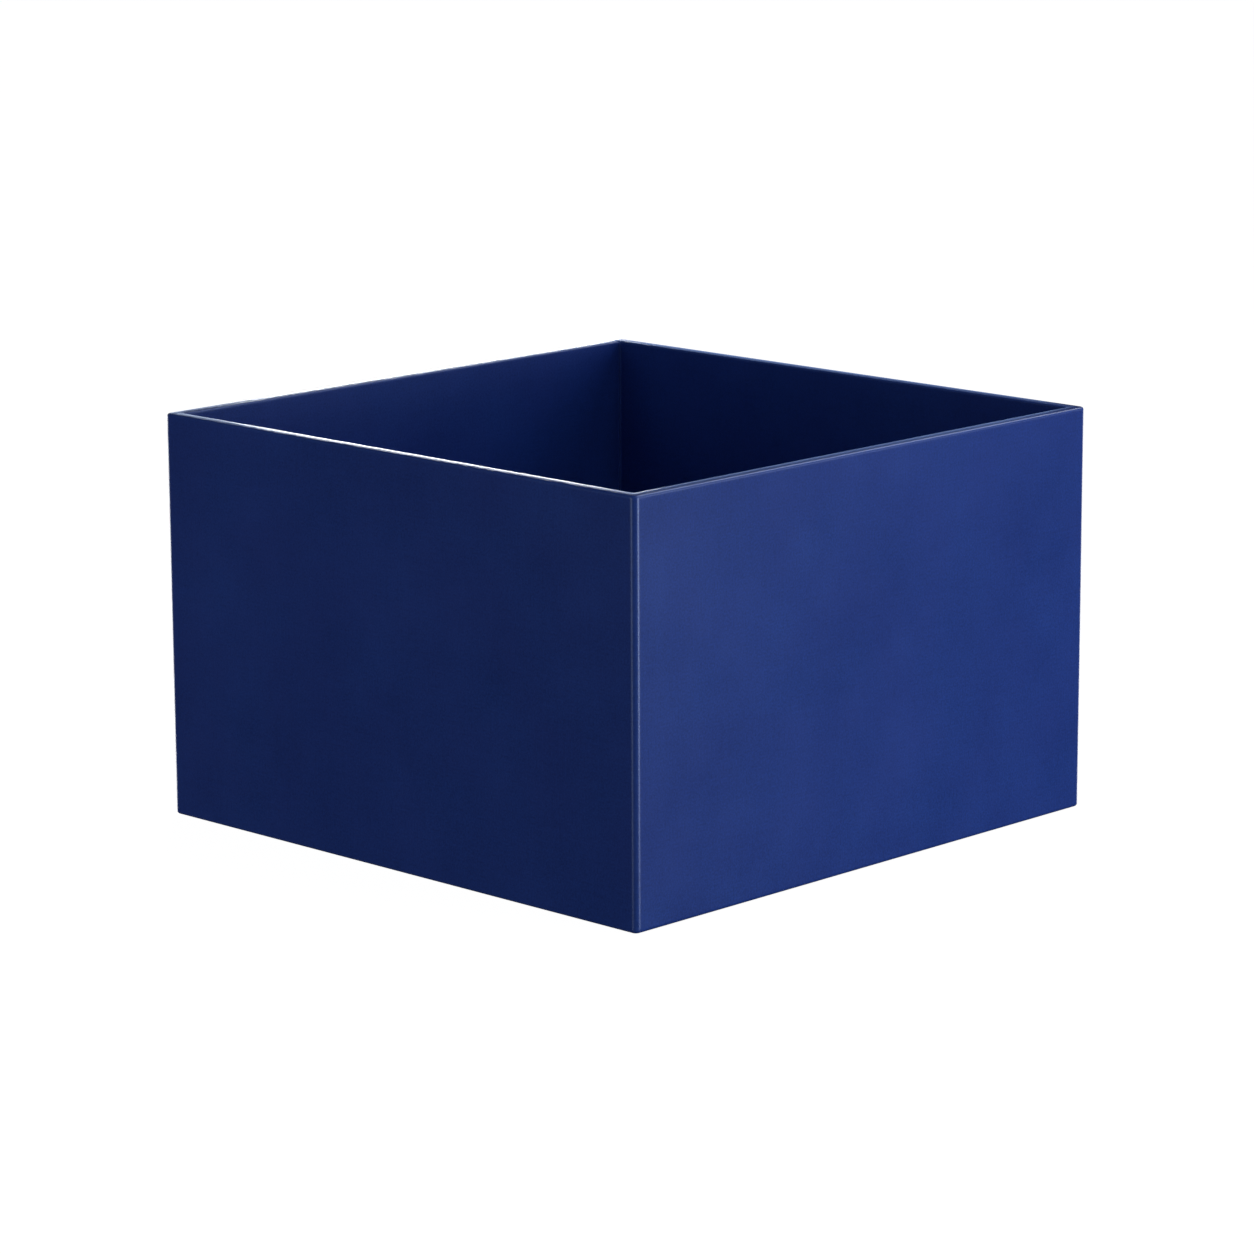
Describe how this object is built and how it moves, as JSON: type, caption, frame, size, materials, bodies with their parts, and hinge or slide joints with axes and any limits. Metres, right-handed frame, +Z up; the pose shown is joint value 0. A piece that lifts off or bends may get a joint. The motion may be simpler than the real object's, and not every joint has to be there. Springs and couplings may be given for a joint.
{
  "type": "fabric storage bin",
  "caption": "Square open-top storage bin with stiff walls covered in cloth inside and out, a thin rounded rim and a loose floor panel that lifts out by a ribbon tab.",
  "frame": {"origin": "middle of the underside", "axes": "+Z up, -Y towards the front wall, +X towards the right wall"},
  "size_m": [0.28, 0.28, 0.178],
  "materials": {
    "sleeve_cloth": "smooth coated navy cloth, satin, very fine grain",
    "lining_cloth": "the same navy cloth glued on card, satin",
    "base_cloth": "matt dark navy backing cloth",
    "ribbon": "navy woven ribbon",
    "greyboard": "uncoated grey board",
    "stay_tape": "brown paper tape"
  },
  "bodies": {
    "bin": {"wall_board_front": "greyboard", "wall_board_right": "greyboard", "wall_board_back": "greyboard", "wall_board_left": "greyboard", "base_board": "greyboard", "corner_stay_front_left": "stay_tape", "corner_stay_front_right": "stay_tape", "corner_stay_back_right": "stay_tape", "corner_stay_back_left": "stay_tape", "base_stay_front": "stay_tape", "base_stay_right": "stay_tape", "base_stay_back": "stay_tape", "base_stay_left": "stay_tape", "cloth_sleeve": "sleeve_cloth", "floor_lining": "lining_cloth", "base_cloth": "base_cloth"},
    "floor_panel": {"panel_backing": "base_cloth", "panel_board": "greyboard", "panel_cover": "lining_cloth", "pull_tab": "ribbon"}
  },
  "joints": [
    {"name": "floor_panel_lift", "type": "slide", "parent": "bin", "child": "floor_panel", "axis": [0, 0, 1], "range_m": [0, 0.2]}
  ]
}
